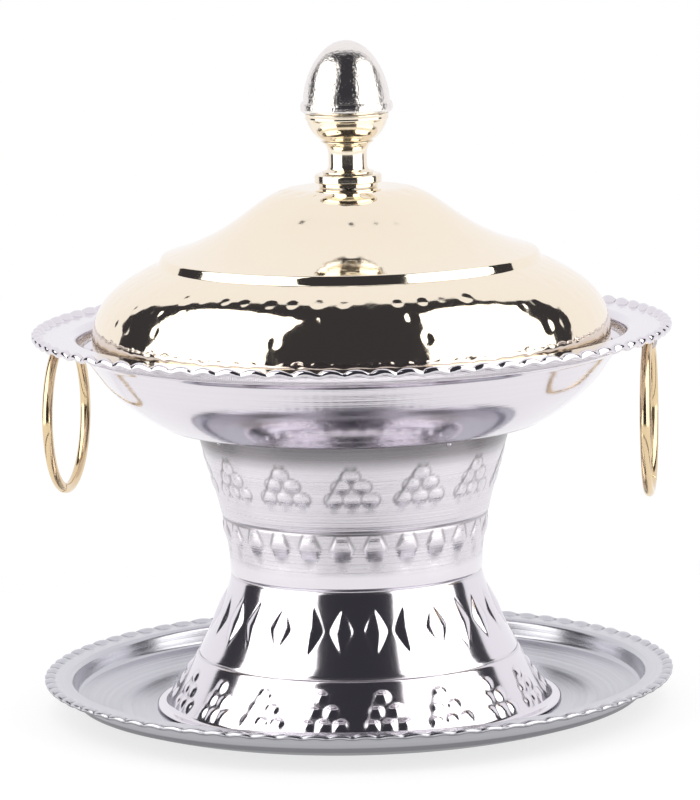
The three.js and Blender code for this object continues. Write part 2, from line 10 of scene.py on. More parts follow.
import bpy
import numpy as np
from bpy.props import FloatProperty, FloatVectorProperty, IntProperty, PointerProperty
from bpy.types import Operator, Panel, PropertyGroup
from mathutils import Matrix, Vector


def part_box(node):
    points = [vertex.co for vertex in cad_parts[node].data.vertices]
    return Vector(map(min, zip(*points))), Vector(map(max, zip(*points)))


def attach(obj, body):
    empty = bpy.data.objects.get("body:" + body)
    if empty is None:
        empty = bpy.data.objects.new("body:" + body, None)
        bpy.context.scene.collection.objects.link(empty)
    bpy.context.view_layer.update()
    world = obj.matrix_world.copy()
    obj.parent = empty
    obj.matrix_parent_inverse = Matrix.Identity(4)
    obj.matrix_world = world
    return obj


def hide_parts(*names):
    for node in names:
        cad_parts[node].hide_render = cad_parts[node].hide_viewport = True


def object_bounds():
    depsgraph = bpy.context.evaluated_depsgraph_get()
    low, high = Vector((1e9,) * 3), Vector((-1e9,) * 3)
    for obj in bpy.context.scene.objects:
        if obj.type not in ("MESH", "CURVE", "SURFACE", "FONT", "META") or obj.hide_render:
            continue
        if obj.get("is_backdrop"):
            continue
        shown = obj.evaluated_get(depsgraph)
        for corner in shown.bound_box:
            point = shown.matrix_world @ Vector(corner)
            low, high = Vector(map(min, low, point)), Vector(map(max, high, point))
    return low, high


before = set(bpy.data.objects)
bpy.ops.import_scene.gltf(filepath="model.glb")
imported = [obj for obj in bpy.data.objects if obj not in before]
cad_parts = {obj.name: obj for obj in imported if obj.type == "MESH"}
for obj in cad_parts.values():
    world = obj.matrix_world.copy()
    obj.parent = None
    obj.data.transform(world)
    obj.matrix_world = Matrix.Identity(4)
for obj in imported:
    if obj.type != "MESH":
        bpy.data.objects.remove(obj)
frame_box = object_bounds()

bl_info = {
    "name": "Lidded date bowl",
    "version": (1, 0, 0),
    "blender": (4, 5, 0),
    "location": "3D View > Sidebar > Date bowl",
    "description": "Builds the surfaces of a lidded date bowl round its packed frame",
    "category": "Add Mesh",
}

FULL_TURN = 2 * math.pi


def length(name, metres, note):
    return FloatProperty(name=name, description=note, default=metres, unit="LENGTH", precision=5)


def turn(name, degrees, note):
    return FloatProperty(name=name, description=note, default=math.radians(degrees), subtype="ANGLE")


def colour(name, rgb, note):
    return FloatVectorProperty(name=name, description=note, default=rgb, subtype="COLOR", size=3)


def strength(name, value, note):
    return FloatProperty(name=name, description=note, default=value, min=0)


def count(name, value, note):
    return IntProperty(name=name, description=note, default=value, min=1)


class DATEBOWL_PG_sheet(PropertyGroup):
    steel: length("Steel sheet", 0.0012, "Thickness of the bowl, foot and tray")
    brass: length("Brass sheet", 0.001, "Thickness of the lid and the knob's shells")
    columns: count("Columns", 832, "Faces round the bowl and the tray")
    foot_columns: count("Foot columns", 620, "Faces round the foot")
    foot_rows: count("Foot rows", 112, "Faces up the foot's wall")
    lid_columns: count("Lid columns", 740, "Faces round the lid")


class DATEBOWL_PG_crimp(PropertyGroup):
    waves: count("Petals", 80, "Crimps round an edge")
    width: length("Width", 0.0054, "How far the crimps reach in from the edge")
    rise: length("Rise", 0.0021, "Height of a petal's crest over the bowl's flange")
    tray_rise: length("Tray rise", 0.0011, "Height of a petal's crest over the tray's flange")
    slant: length("Slant", 0.0022, "How far a petal leans along the rim")


class DATEBOWL_PG_tray(PropertyGroup):
    rim_radius: length("Rim radius", 0.1288, "Outer edge of the flange")
    flange: length("Flange", 0.0106, "Width of the flange")
    floor_radius: length("Floor radius", 0.098, "Edge of the flat floor")
    height: length("Height", 0.014, "Top of the flange over the table")
    wall_drop: length("Wall", 0.0076, "Height of the steep wall")
    wall_taper: length("Taper", 0.0024, "How far the steep wall leans out")


class DATEBOWL_PG_foot(PropertyGroup):
    height: length("Height", 0.1155, "Height of the foot")
    top_radius: length("Top radius", 0.064, "Radius under the bowl")
    base_radius: length("Base radius", 0.078, "Radius of the wall at the hem")
    landing: length("Landing", 0.010, "Width of the folded-in top")
    hem: length("Hem", 0.005, "How far the hem stands out")
    waist_radius: length("Waist radius", 0.0514, "Radius of the waist")
    waist_height: length("Waist height", 0.0544, "Height of the waist")
    upper_groove: length("Upper groove", 0.0785, "Height of the groove over the drops")
    lower_groove: length("Lower groove", 0.0218, "Height of the groove over the lower grapes")
    groove_depth: length("Groove depth", 0.0005, "Depth of each groove")
    satin_rise: length("Satin", 0.0050, "How far over the waist the satin starts")
    # Painted shade: a darker band at the top of the foot, under the bowl
    under_bowl_shade: length("Shade under bowl", 0.0135, "Width of the darker band under the bowl")


class DATEBOWL_PG_emboss(PropertyGroup):
    upper_grapes: count("Upper bunches", 13, "Bunches of grapes above the waist")
    upper_grapes_turn: turn("Upper bunches from", -91.2, "Polar angle of the first bunch")
    lower_grapes: count("Lower bunches", 18, "Bunches of grapes at the base")
    lower_grapes_turn: turn("Lower bunches from", -81.1, "Polar angle of the first bunch")
    grape_relief: length("Grape relief", 0.0008, "Height of a boss at the base")
    upper_relief: length("Upper relief", 0.00056, "Height of a boss above the waist")
    drops: count("Drops", 25, "Drops under the upper groove")
    drops_turn: turn("Drops from", -96.2, "Polar angle of the first drop")
    drop_relief: length("Drop relief", 0.0009, "Height of a drop")
    lozenges: count("Lozenges", 27, "Lozenges round the flare")
    lozenges_turn: turn("Lozenges from", -96.4, "Polar angle of the first lozenge")
    lozenge_relief: length("Lozenge relief", 0.00095, "Height of a lozenge")
    lozenge_height: length("Lozenge height", 0.0394, "Height of the lozenges' middles over the base")


class DATEBOWL_PG_bowl(PropertyGroup):
    rim_radius: length("Rim radius", 0.130, "Outer edge of the flange")
    mouth_radius: length("Mouth radius", 0.1113, "Inner edge of the flange")
    depth: length("Depth", 0.038, "From the base to the flange's top")
    neck: length("Neck", 0.0075, "Height of the straight neck")
    base_radius: length("Base radius", 0.0757, "Radius of the flat base")
    bend: length("Bend", 0.0204, "Height over the base where the round wall turns straight")
    bend_radius: length("Bend radius", 0.1018, "Outer radius of the wall at that height")
    ledge: length("Ledge", 0.0036, "How far the neck stands out from the top of the wall")
    ticks: count("Ticks", 880, "Upright ticks rolled round the neck")


class DATEBOWL_PG_lid(PropertyGroup):
    radius: length("Radius", 0.1053, "Radius of the skirt")
    skirt: length("Skirt", 0.011, "Height of the skirt")
    draw: length("Draw", 0.0013, "How far the skirt is drawn in at its lower edge")
    shoulder: length("Shoulder", 0.0292, "Height of the rounded shoulder")
    step_radius: length("Step radius", 0.078, "Radius of the step")
    step_rise: length("Step rise", 0.0034, "Height of the step")
    step_run: length("Step run", 0.0016, "How far the step goes in")
    cone: length("Cone", 0.0268, "Height of the cone over the step")
    crown_radius: length("Crown radius", 0.019, "Flat place for the knob")
    dimple_width: length("Dimple width", 0.0062, "Width of a hammer mark")
    dimple_depth: length("Dimple depth", 0.00020, "Depth of a hammer mark on the shoulder")
    cone_depth: length("Cone dimples", 0.00006, "Depth of a hammer mark on the cone")
    crown_depth: length("Crown dimples", 0.00045, "Depth of the marks round the crown")
    crown_ring: length("Crown marks", 0.0265, "Radius of the ring of marks round the crown")
    dimple_pitch: length("Dimple pitch", 0.0098, "Distance between hammer marks")


class DATEBOWL_PG_knob(PropertyGroup):
    collar_radius: length("Collar radius", 0.0136, "Radius of the collar's upper disc")
    collar_foot: length("Collar foot", 0.012, "Radius of the collar's lower disc")
    collar_step: length("Collar step", 0.0016, "Height of the collar's lower disc")
    spool_foot: length("Spool foot", 0.0102, "Radius at the foot of the spool")
    spool_waist: length("Spool waist", 0.0078, "Radius of the spool's waist")
    spool_head: length("Spool head", 0.0105, "Radius at the head of the spool")
    tenon_radius: length("Tenon radius", 0.004, "Radius of the tenon that holds the cup")
    tenon: length("Tenon", 0.0026, "Height of the tenon")
    fit: length("Fit", 0.0003, "Space between the tenon and the cup's hole")
    bore: length("Bore", 0.0027, "Radius of the hole for the screw")
    bore_depth: length("Bore depth", 0.0137, "Depth of the screw's hole in the spool")
    cup_foot: length("Cup foot", 0.0108, "Radius of the cup over the spool")
    cup_radius: length("Cup radius", 0.0172, "Radius of the cup's mouth")
    cup_bead: length("Cup bead", 0.0022, "How far the cup's bead lies below its mouth")
    egg_radius: length("Egg radius", 0.0175, "Radius of the egg over its band")
    band_radius: length("Band radius", 0.0187, "Radius of the rounded band")
    band: length("Band", 0.0043, "Height of the rounded band")


class DATEBOWL_PG_handle(PropertyGroup):
    ring_diameter: length("Ring diameter", 0.066, "Outer diameter of a drop ring")
    wire: length("Wire", 0.0042, "Diameter of the ring's wire")
    hinge_radius: length("Hinge radius", 0.1205, "Distance of the hinge from the axis")
    hinge_height: length("Hinge height", 0.150, "Height of the hinge")
    left_turn: turn("Left handle", 168.4, "Polar angle of the left handle")
    right_turn: turn("Right handle", -6.7, "Polar angle of the right handle")
    seam_turn: turn("Seam", 22, "Place of the butt seam, from the bottom of the ring")


class DATEBOWL_PG_stage(PropertyGroup):
    ceiling: length("Ceiling", 0.40, "Height of the light panels over the table")
    sunk: length("Sunk", -0.35, "Height of the lower edge of the light walls")
    side_light: strength("Side light", 2.3, "Glow of the panels to the left and right")
    back_light: strength("Back light", 1.0, "Glow of the panel at the back")
    near_floor: strength("Near floor", 0.72, "Glow of the table round the bowl")
    near_radius: length("Near radius", 0.30, "Edge of the table round the bowl")
    far_floor: strength("Far floor", 1.0, "Glow of the table further out")
    far_inner: length("Far inner radius", 0.34, "Inner edge of the table further out")
    far_radius: length("Far radius", 1.3, "Outer edge of the table")
    camera_side: length("Camera aside", -0.0012, "Place of the camera to the right of the axis")
    camera_back: length("Camera distance", 2.008, "Distance of the camera from the axis")
    camera_height: length("Camera height", 0.437, "Height of the camera over the table")
    camera_tilt: turn("Camera tilt", 8.81, "How far the camera looks down")
    camera_lean: turn("Camera lean", 1.25, "How far the camera leans to its side")
    lens: FloatProperty(name="Lens", description="Focal length", default=224.6, unit="CAMERA")


class DATEBOWL_PG_colours(PropertyGroup):
    steel: colour("Steel", (0.79, 0.755, 0.80), "Polished stainless steel")
    tray: colour("Tray", (0.615, 0.615, 0.655), "Bluer, duller steel of the tray")
    lid: colour("Lid", (0.94, 0.84, 0.675), "Pale champagne brass")
    knob: colour("Knob", (0.93, 0.83, 0.67), "Yellower brass of the knob's foot")
    cap: colour("Cap", (0.90, 0.86, 0.82), "Almost silver top of the egg")
    ring: colour("Rings", (0.80, 0.62, 0.38), "Brass of the drop rings")
    screw: colour("Screw", (0.60, 0.61, 0.63), "Plated screw")
    floor: colour("Floor", (0.90, 0.90, 0.91), "Table under the bowl")


GROUPS = {
    "sheet": DATEBOWL_PG_sheet,
    "crimp": DATEBOWL_PG_crimp,
    "tray": DATEBOWL_PG_tray,
    "foot": DATEBOWL_PG_foot,
    "emboss": DATEBOWL_PG_emboss,
    "bowl": DATEBOWL_PG_bowl,
    "lid": DATEBOWL_PG_lid,
    "knob": DATEBOWL_PG_knob,
    "handle": DATEBOWL_PG_handle,
    "colours": DATEBOWL_PG_colours,
    "stage": DATEBOWL_PG_stage,
}


class DATEBOWL_PG_all(PropertyGroup):
    """All groups of sizes and colours."""

    __annotations__ = {name: PointerProperty(type=group) for name, group in GROUPS.items()}


# Section lines are arrays of points (radius, height)


def sweep(start, end, pulls, steps):
    """A cubic curve from start to end. Each pull is a handle, as the share of the way across and up."""
    start, end = np.array(start, float), np.array(end, float)
    first, second = (start + (end - start) * np.array(pull) for pull in pulls)
    t = np.linspace(0, 1, steps + 1)[:, None]
    return (1 - t) ** 3 * start + 3 * (1 - t) ** 2 * t * first + 3 * (1 - t) * t**2 * second + t**3 * end


def rounded(points, radii, steps=4):
    """The line with each corner cut by its radius and bridged by a parabola tangent to both sides,
    with one more point on each side so that the flats stay flat."""
    points = [np.array(p, float) for p in points]
    line = [points[0]]
    share = 0.4  # of a side, which a corner takes at most
    clear = 1.2  # times the reach, where the flat's own last point stands
    for before, corner, after, radius in zip(points, points[1:], points[2:], radii):
        if radius <= 0:
            line.append(corner)
            continue
        back, ahead = before - corner, after - corner
        reach = min(radius, share * np.linalg.norm(back), share * np.linalg.norm(ahead))
        a = corner + back / np.linalg.norm(back) * reach
        b = corner + ahead / np.linalg.norm(ahead) * reach
        t = np.linspace(0, 1, steps + 1)[:, None]
        line.append(corner + (a - corner) * clear)
        line.extend((1 - t) ** 2 * a + 2 * (1 - t) * t * corner + t**2 * b)
        line.append(corner + (b - corner) * clear)
    line.append(points[-1])
    return np.array(line)


def dense(line, step):
    """The line with every stretch longer than the step divided evenly."""
    pieces = [line[:1]]
    for a, b in zip(line[:-1], line[1:]):
        parts = max(1, math.ceil(np.linalg.norm(b - a) / step))
        pieces.append(a + (b - a) * (np.arange(1, parts + 1) / parts)[:, None])
    return np.vstack(pieces)


def along(line):
    """Distance of each point from the line's start, measured along it."""
    return np.concatenate([[0], np.cumsum(np.linalg.norm(np.diff(line, axis=0), axis=1))])


def at_stops(line, stops):
    """Points at these distances along the line."""
    run = along(line)
    return np.column_stack([np.interp(stops, run, line[:, 0]), np.interp(stops, run, line[:, 1])])


def even(line, step):
    """The line's own course in even steps of about this length."""
    whole = along(line)[-1]
    return at_stops(line, np.linspace(0, whole, max(2, round(whole / step)) + 1))


def graded(line, weight, rows):
    """The line's own course in a set number of rows, closer together where the weight is greater."""
    run = along(line)
    filled = np.concatenate([[0], np.cumsum(np.diff(run) * (weight[1:] + weight[:-1]) / 2)])
    return at_stops(line, np.interp(np.linspace(0, filled[-1], rows + 1), filled, run))


def beside(line, distance):
    """The line moved to the left of its direction by a distance, with mitred corners."""
    course = np.diff(line, axis=0)
    course /= np.linalg.norm(course, axis=1)[:, None]
    side = np.column_stack([-course[:, 1], course[:, 0]])
    mitre = np.vstack([side[:1], side]) + np.vstack([side, side[-1:]])
    return line + mitre * (2 * distance / (mitre**2).sum(axis=1))[:, None]


def smooth(low, high, value):
    """0 below low, 1 above high and an even S between them."""
    t = np.clip((value - low) / (high - low), 0, 1)
    return t * t * (3 - 2 * t)


def grid_mesh(name, points, closed_rows=False):
    """An object from a grid of points (rows, columns, 3) whose columns run round and meet.
    A first or last row on the axis becomes one pole; closed_rows joins the last row to the first."""
    rows, columns = points.shape[:2]
    index = np.arange(rows * columns).reshape(rows, columns)
    if not closed_rows:
        for row in (0, rows - 1):
            if np.ptp(points[row], axis=0).max() < 1e-7:
                index[row] = index[row, 0]
    lower = index if closed_rows else index[:-1]
    upper = np.roll(index, -1, axis=0) if closed_rows else index[1:]
    quads = np.stack([lower, np.roll(lower, -1, 1), np.roll(upper, -1, 1), upper], axis=-1).reshape(-1, 4)
    used, quads = np.unique(quads, return_inverse=True)
    quads = quads.reshape(-1, 4)
    first_pole, last_pole = quads[:, 0] == quads[:, 1], quads[:, 2] == quads[:, 3]
    faces = quads[~(first_pole | last_pole)].tolist()
    faces += quads[first_pole][:, 1:].tolist() + quads[last_pole][:, :3].tolist()
    mesh = bpy.data.meshes.new(name)
    mesh.from_pydata(points.reshape(-1, 3)[used], [], faces)
    mesh.validate()
    mesh.shade_smooth()
    piece = bpy.data.objects.new(name, mesh)
    bpy.context.scene.collection.objects.link(piece)
    return piece


def full_circle(columns):
    """Angles of this many columns, evenly spaced all round."""
    return np.linspace(0, FULL_TURN, columns, endpoint=False)


def about_axis(radius, angles, height):
    """Points at these distances from the axis, angles and heights."""
    return np.stack(np.broadcast_arrays(radius * np.cos(angles), radius * np.sin(angles), height), axis=-1)


def turned(name, line, columns, push=0.0, closed=False):
    """The section line turned about the axis. push holds how far each point of the grid stands
    out square to the line, to the right of its direction."""
    if closed:
        tangent = np.roll(line, -1, 0) - np.roll(line, 1, 0)
    else:
        tangent = np.gradient(line, axis=0)
    tangent /= np.maximum(np.linalg.norm(tangent, axis=1), 1e-12)[:, None]
    radius = line[:, :1] + tangent[:, 1:] * push
    height = line[:, 1:] - tangent[:, :1] * push
    return grid_mesh(name, about_axis(radius, full_circle(columns), height), closed_rows=closed)


def flange_edge(rim, top, sheet, width):
    """The flange's edge from its inner end below, round the rim and back above: two flats, and
    between them a half circle as thick as the sheet."""
    round_off = sheet / 2
    lip = np.array([(rim - round_off + round_off * math.cos(a), top - round_off + round_off * math.sin(a))
                    for a in np.linspace(-math.pi / 2, math.pi / 2, 7)])
    flat = np.linspace(rim - width, rim - round_off, 11)[1:-1]
    below = np.column_stack([flat, np.full(len(flat), top - sheet)])
    above = np.column_stack([flat[::-1], np.full(len(flat), top)])
    return np.vstack([below, lip, above])


def crimped(name, line, rim, top, crimp, rise, columns):
    """A turned piece whose edge is crimped. Each petal's top is a round crest between sharp
    valleys, |cos| to a low power, and the sheet below it follows as a plain wave. On its way out
    a petal swells up from the flat flange, later in a valley than at a crest, and sinks a little
    at the rim, which the valleys notch."""
    valley, crest_power, wave_below = 0.10, 0.75, 0.28
    notch_depth, zone_depth = 0.0007, 0.004
    angles = full_circle(columns)
    inner = rim - crimp.width
    inward = np.clip((line[:, :1] - inner) / crimp.width, 0, 1)
    on_top = smooth(top - 0.0011, top - 0.0002, line[:, 1:])
    in_zone = (line[:, :1] > inner) & (line[:, 1:] > top - zone_depth)
    phase = crimp.waves * (angles - crimp.slant / rim * inward)
    crest = np.abs(np.cos(phase / 2)) ** crest_power
    start = 0.04 + 0.30 * (1 - crest)
    swell = smooth(start, start + 0.42, inward) * (1 - 0.30 * smooth(0.66, 1.0, inward))
    above = rise * swell * (valley + (1 - valley) * crest)
    below = rise * smooth(0.1, 0.7, inward) * (valley + wave_below * np.cos(phase))
    lift = np.where(in_zone, on_top * above + (1 - on_top) * below, 0)
    notch = np.where(in_zone, notch_depth * smooth(0.55, 1.0, inward) * (1 - crest), 0)
    return grid_mesh(name, about_axis(line[:, :1] - notch, angles, line[:, 1:] + lift))


# Materials


class Value:
    """A number that varies over a surface. Arithmetic on it adds Math nodes."""

    def __init__(self, nodes, socket):
        self.nodes, self.socket = nodes, socket

    def maths(self, operation, *others):
        """This number first, then the others."""
        return self.nodes.value("ShaderNodeMath", {"operation": operation}, dict(enumerate((self, *others))))

    def __add__(self, other):
        return self.maths("ADD", other)

    def __sub__(self, other):
        return self.maths("SUBTRACT", other)

    def __rsub__(self, other):
        return self.maths("MULTIPLY_ADD", -1.0, other)

    def __mul__(self, other):
        return self.maths("MULTIPLY", other)

    def __abs__(self):
        return self.maths("ABSOLUTE")

    __radd__ = __add__
    __rmul__ = __mul__


class Nodes:
    """A tree of shader nodes that starts with its output."""

    def __init__(self, tree, output):
        self.tree = tree
        self.tree.nodes.clear()
        self.output = self.node(output)

    def node(self, kind, settings=None, inputs=None):
        """A node of a type, its settings first, then the values or links of its sockets."""
        made = self.tree.nodes.new(kind)
        for name, setting in (settings or {}).items():
            setattr(made, name, setting)
        for name, given in (inputs or {}).items():
            given = given.socket if isinstance(given, Value) else given
            if isinstance(given, bpy.types.NodeSocket):
                self.tree.links.new(given, made.inputs[name])
            else:
                made.inputs[name].default_value = given
        return made

    def value(self, kind, settings=None, inputs=None, output=0):
        return Value(self, self.node(kind, settings, inputs).outputs[output])

    def show(self, kind, inputs):
        """A shader of a type, linked to the output."""
        shader = self.node(kind, None, inputs)
        self.tree.links.new(shader.outputs[0], self.output.inputs["Surface"])


class Finish(Nodes):
    """A material for one kind of surface."""

    def __init__(self, name):
        self.material = bpy.data.materials.new(name)
        self.material.use_nodes = True
        super().__init__(self.material.node_tree, "ShaderNodeOutputMaterial")

    def place(self):
        """Where a point lies on the object."""
        return self.node("ShaderNodeTexCoord").outputs["Object"]

    def parts(self, vector):
        """The three numbers of a vector."""
        return [Value(self, part) for part in self.node("ShaderNodeSeparateXYZ", None, {0: vector}).outputs]

    def flat(self, across, up):
        """Two numbers as a vector."""
        return self.node("ShaderNodeCombineXYZ", None, {0: across, 1: up}).outputs[0]

    def reach(self):
        """Distance from the turning axis."""
        x, y = self.parts(self.place())[:2]
        return self.value("ShaderNodeVectorMath", {"operation": "LENGTH"}, {0: self.flat(x, y)}, "Value")

    def height(self):
        """Height over the table."""
        return self.parts(self.place())[2]

    def around(self):
        """Angle about the axis, in radians."""
        x, y = self.parts(self.place())[:2]
        return y.maths("ARCTAN2", x)

    def facing_up(self):
        """1 where the surface faces up, -1 where it faces down."""
        return self.parts(self.node("ShaderNodeNewGeometry").outputs["Normal"])[2]

    def lathe_lines(self, fineness, detail=3.0):
        """Noise that is the same all round the axis, as turning and spinning leave."""
        section = {"Vector": self.flat(self.reach(), self.height())}
        return self.value("ShaderNodeTexNoise", {"noise_dimensions": "2D"},
                          {**section, "Scale": fineness, "Detail": detail, "Roughness": 0.6})

    def speckle(self, size, detail):
        """Noise with spots of about this size."""
        return self.value("ShaderNodeTexNoise", None,
                          {"Vector": self.place(), "Scale": 1 / size, "Detail": detail})

    def step_between(self, low, high, number):
        """0 below low, 1 above high and an even S between them."""
        return self.value("ShaderNodeMapRange", {"interpolation_type": "SMOOTHSTEP"},
                          {"Value": number, "From Min": low, "From Max": high})

    def bump(self, height, distance, under=None):
        """Fine relief of this depth, on top of the relief under it."""
        inputs = {"Height": height, "Distance": distance, "Strength": 1.0}
        if under is not None:
            inputs["Normal"] = under
        return self.node("ShaderNodeBump", None, inputs).outputs[0]

    def tinted(self, rgb, shade, mask):
        """The colour where the mask is 0, and its darker shade where it is 1."""
        darker = [part * shade for part in rgb]
        return self.node("ShaderNodeMix", {"data_type": "RGBA"},
                         {"Factor": mask, 6: (*rgb, 1), 7: (*darker, 1)}).outputs[2]

    def metal(self, tone, roughness, normal):
        """Bare metal, shown on the output."""
        self.show("ShaderNodeBsdfPrincipled",
                  {"Base Color": tone, "Metallic": 1.0, "Roughness": roughness, "Normal": normal})
        return self.material


def steel_finish(name, rgb, polish, grain, lines=900.0):
    """Turned or bent steel: fine lines as relief and as bands of duller and brighter polish."""
    finish = Finish(name)
    turning = finish.lathe_lines(lines)
    soft = finish.speckle(0.02, 2.0)
    rough = polish + 0.10 * grain * turning + 0.05 * soft
    return finish.metal(finish.tinted(rgb, 0.93, turning), rough, finish.bump(turning, 0.00004 * grain))


def tray_finish(name, rgb, crimp, rim):
    """Spun steel with coarser streaks than the bowl's, rougher below, with painted shade darkening
    the underside and the valleys between the crimped petals."""
    finish = Finish(name)
    streaks, turning = finish.lathe_lines(170.0, 2.0), finish.lathe_lines(700.0)
    inward = (finish.reach() - (rim - crimp.width)) * (1 / crimp.width)
    phase = (finish.around() - inward * (crimp.slant / rim)) * (crimp.waves / 2)
    crest = abs(phase.maths("COSINE"))
    # Painted shade in the valleys between the crimped petals
    valley = (1.0 - finish.step_between(0.05, 0.45, crest)) * finish.step_between(0.1, 0.3, inward)
    # Painted shade on the underside: darker where the surface faces down, and rougher too
    shaded_underside = 1.0 - finish.step_between(-0.35, -0.05, finish.facing_up())
    normal = finish.bump(turning, 0.00004, finish.bump(streaks, 0.00012))
    tone = finish.tinted(rgb, 0.42, 0.20 * turning + 0.60 * valley + 0.95 * shaded_underside)
    return finish.metal(tone, 0.06 + 0.16 * streaks + 0.14 * turning + 0.25 * shaded_underside, normal)


def foot_finish(name, rgb, satin_from, under_bowl_shade_from):
    """Polished steel that turns satin above the waist, where the turning lines show, with painted
    shade darkening a band under the bowl. Painted shade from a point attribute darkens its creases."""
    finish = Finish(name)
    height = finish.height()
    satin = finish.step_between(satin_from, satin_from + 0.0030, height)
    # Painted shade under the bowl, darkening the top of the foot
    under_bowl_shade = finish.step_between(under_bowl_shade_from, under_bowl_shade_from + 0.010, height)
    # Painted shade in the foot's creases, grooves and round its pressed motifs
    stain = finish.value("ShaderNodeAttribute", {"attribute_name": "stain"}, None, "Fac")
    turning = finish.lathe_lines(1100.0)
    rough = 0.11 + 0.10 * satin + 0.10 * (satin * turning) + 0.2 * stain
    dark = 0.18 * (satin * turning) + 0.85 * under_bowl_shade + (0.2 + 0.48 * satin) * stain
    return finish.metal(finish.tinted(rgb, 0.25, dark), rough, finish.bump(turning * (0.12 + satin), 0.00008))


def bowl_finish(name, rgb, base, low, high, ticks):
    """Polished steel with fine turning lines, upright ticks rolled into the neck from low to
    high and a line of painted shade round the base, where the bowl meets the foot."""
    finish = Finish(name)
    turning, height = finish.lathe_lines(900.0), finish.height()
    band = finish.step_between(low, low + 0.0002, height) - finish.step_between(high, high + 0.0002, height)
    phase = finish.around() * ticks
    normal = finish.bump(phase.maths("SINE") * band, 0.00016, finish.bump(turning, 0.00003))
    # Painted shade: a dark line round the base, where the bowl sits on the foot
    dark = 1.0 - finish.step_between(base + 0.0011, base + 0.0022, height)
    tone = finish.tinted(rgb, 0.2, 0.06 * turning + 0.94 * dark)
    return finish.metal(tone, 0.06 + 0.08 * turning + 0.14 * band, normal)


def cap_finish(name, rgb, polish):
    """Plated cap whose thin coat is finely mottled, with faint scratches round it."""
    finish = Finish(name)
    grain, wander = finish.speckle(0.0011, 3.0), finish.speckle(0.005, 2.0)
    normal = finish.bump(finish.lathe_lines(1500.0), 0.00002, finish.bump(grain, 0.00016))
    return finish.metal(finish.tinted(rgb, 0.93, wander), polish + 0.16 * wander, normal)


def brass_finish(name, rgb, shade, polish, ripple):
    """Mirror brass with a little ripple from polishing and faint swirl marks."""
    finish = Finish(name)
    wander, fine = finish.speckle(0.012, 2.0), finish.speckle(0.0011, 5.0)
    normal = finish.bump(fine, 0.000006, finish.bump(wander, ripple))
    return finish.metal(finish.tinted(rgb, shade, wander), polish + 0.05 * fine, normal)


def dress(piece, material):
    """Gives a piece this material alone."""
    piece.data.materials.clear()
    piece.data.materials.append(material)


def settle(piece, body, material, slot, *nodes):
    """Gives a new piece its material, hides the solids it stands for and hangs it on
    its body. The finish slot argument is not used."""
    dress(piece, material)
    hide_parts(*nodes)
    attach(piece, body)


def settings():
    return bpy.context.scene.date_bowl


class DATEBOWL_OT_tray(Operator):
    """Spun tray with a sloping border, a steep wall and a crimped flange"""

    bl_idname = "datebowl.tray"
    bl_label = "Tray"

    def execute(self, context):
        s = settings()
        t, crimp, sheet = s.tray, s.crimp, s.sheet.steel
        mouth = t.rim_radius - t.flange
        wall_foot = mouth - t.wall_taper
        slope_top = t.height - t.wall_drop
        flat_floor = t.floor_radius - 0.012
        middle = (t.floor_radius + wall_foot) / 2
        above = rounded(
            [(0, sheet), (flat_floor, sheet), (t.floor_radius, sheet), (middle, sheet + slope_top * 0.36),
             (wall_foot, slope_top), (mouth - sheet, t.height - sheet), (mouth, t.height),
             (t.rim_radius - crimp.width, t.height)],
            [0, 0.004, 0.005, 0.0012, 0.0016, 0.0014],
        )
        below = beside(above[1:], -sheet)
        below[-1] = (t.rim_radius - crimp.width, t.height - sheet)
        edge = flange_edge(t.rim_radius, t.height, sheet, crimp.width)
        line = np.vstack([[(0, 0)], below, edge, above[::-1]])
        piece = crimped("tray_skin", line, t.rim_radius, t.height, crimp, crimp.tray_rise, s.sheet.columns)
        finish = tray_finish("tray steel", s.colours.tray, crimp, t.rim_radius)
        settle(piece, "tray", finish, "satin_steel", "tray")
        return {"FINISHED"}


class DATEBOWL_OT_bowl(Operator):
    """Spun bowl with a flat base, a straight neck and a crimped flange"""

    bl_idname = "datebowl.bowl"
    bl_label = "Bowl"

    def execute(self, context):
        s = settings()
        b, crimp, sheet = s.bowl, s.crimp, s.sheet.steel
        neck = b.mouth_radius + sheet
        neck_foot = b.depth - b.neck
        flange_in = b.rim_radius - crimp.width

        def section(steps, corner_steps, groove):
            """The outside from the axis to the flange, with a groove round the foot of its neck."""
            wall = sweep((b.base_radius, 0), (b.bend_radius, b.bend), [(0.42, 0.27), (0.80, 0.64)], steps)
            return rounded(
                [(0, 0), (b.base_radius - 0.003, 0), *wall[1:], (neck - b.ledge, neck_foot),
                 (neck, neck_foot + 0.0012), (neck - groove, neck_foot + 0.0017), (neck, neck_foot + 0.0022),
                 (neck, b.depth - 2 * sheet), (neck + sheet, b.depth - sheet), (flange_in, b.depth - sheet)],
                [0.003] + [0] * (len(wall) - 2) + [0.002, 0.0014, 0.0006, 0.0003, 0.0003, 0.0006, 0.0008],
                corner_steps,
            )

        below = section(15, 2, 0.0005)
        above = beside(section(7, 1, 0), sheet)
        above[0] = (0, sheet)
        above[-1] = (flange_in, b.depth)
        line = np.vstack([below, flange_edge(b.rim_radius, b.depth, sheet, crimp.width), above[::-1]])
        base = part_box("bowl")[0][2]
        top = base + b.depth
        line[:, 1] += base
        piece = crimped("bowl_skin", line, b.rim_radius, top, crimp, crimp.rise, s.sheet.columns)
        finish = bowl_finish("bowl steel", s.colours.steel, base, top - 0.0062, top - 0.0036, b.ticks)
        settle(piece, "stand", finish, "satin_steel", "bowl")
        return {"FINISHED"}


def across(angles, radius, number, first):
    """Distance of each grid point from the middle of its own motif, measured round the foot."""
    turns = (angles[None, :] - first) * number / FULL_TURN
    return (turns - np.round(turns)) * FULL_TURN * radius[:, None] / number


